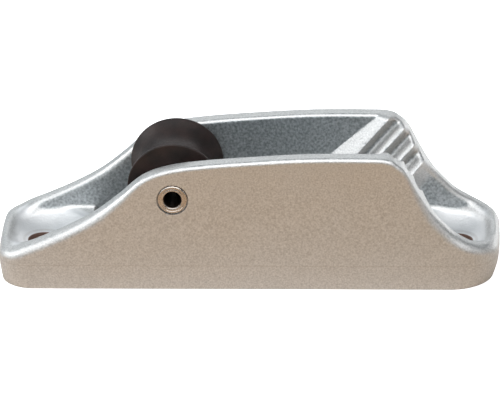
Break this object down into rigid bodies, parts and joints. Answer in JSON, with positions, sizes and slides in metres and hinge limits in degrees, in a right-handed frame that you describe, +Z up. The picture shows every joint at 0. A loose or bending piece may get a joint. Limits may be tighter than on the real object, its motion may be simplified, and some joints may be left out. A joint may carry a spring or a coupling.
{
  "type": "rope jam cleat with roller",
  "caption": "Rope jam cleat: a cast aluminium V groove with slanting teeth between two walls, a screw pad at each end and a free-turning rope roller at the load end.",
  "frame": {"origin": "on the base face, under the middle of the casting's length and width", "axes": "+X along the cleat towards its toothed end, +Y across it, +Z up from the base"},
  "size_m": [0.082, 0.021, 0.0236],
  "materials": {
    "anodised_casting": "satin, fine blasted grain under clear anodising",
    "roller_plastic": "black moulded plastic, slightly polished by rope",
    "rivet_steel": "bright stainless steel"
  },
  "bodies": {
    "frame": {"cleat_body": "anodised_casting", "tubular_rivet": "rivet_steel"},
    "roller": {"roller": "roller_plastic"}
  },
  "joints": [
    {"name": "roller_spin", "type": "hinge", "parent": "frame", "child": "roller", "pos_m": [-0.012, 0, 0.01595], "axis": [0, 1, 0], "continuous": true}
  ]
}
